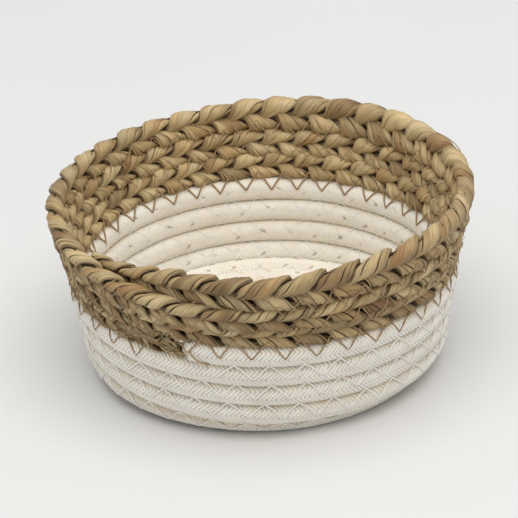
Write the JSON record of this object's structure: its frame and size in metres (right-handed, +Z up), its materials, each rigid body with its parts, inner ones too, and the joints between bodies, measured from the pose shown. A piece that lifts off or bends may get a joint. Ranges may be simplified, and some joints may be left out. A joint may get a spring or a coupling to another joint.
{
  "type": "basket",
  "caption": "Round open basket: a coiled cotton rope base and lower wall, with an upper band of plaited seagrass sewn on with zigzag thread.",
  "frame": {"origin": "on the resting plane, under the middle of the basket", "axes": "+Z up out of the mouth; -Y towards the viewer of the picture, where the rope ends and the plait starts"},
  "size_m": [0.1989, 0.1986, 0.088],
  "materials": {
    "cotton_rope": "matt braided cotton",
    "seagrass": "dried seagrass blades with a slight sheen",
    "white_thread": "matt sewing thread",
    "brown_thread": "waxed sewing thread"
  },
  "bodies": {
    "root": {"cotton_rope": "cotton_rope", "seagrass_strand_a": "seagrass", "seagrass_strand_b": "seagrass", "seagrass_strand_c": "seagrass", "rope_thread_outside": "white_thread", "rope_thread_inside": "white_thread", "band_thread_outside": "brown_thread", "band_thread_inside": "brown_thread"}
  },
  "joints": []
}
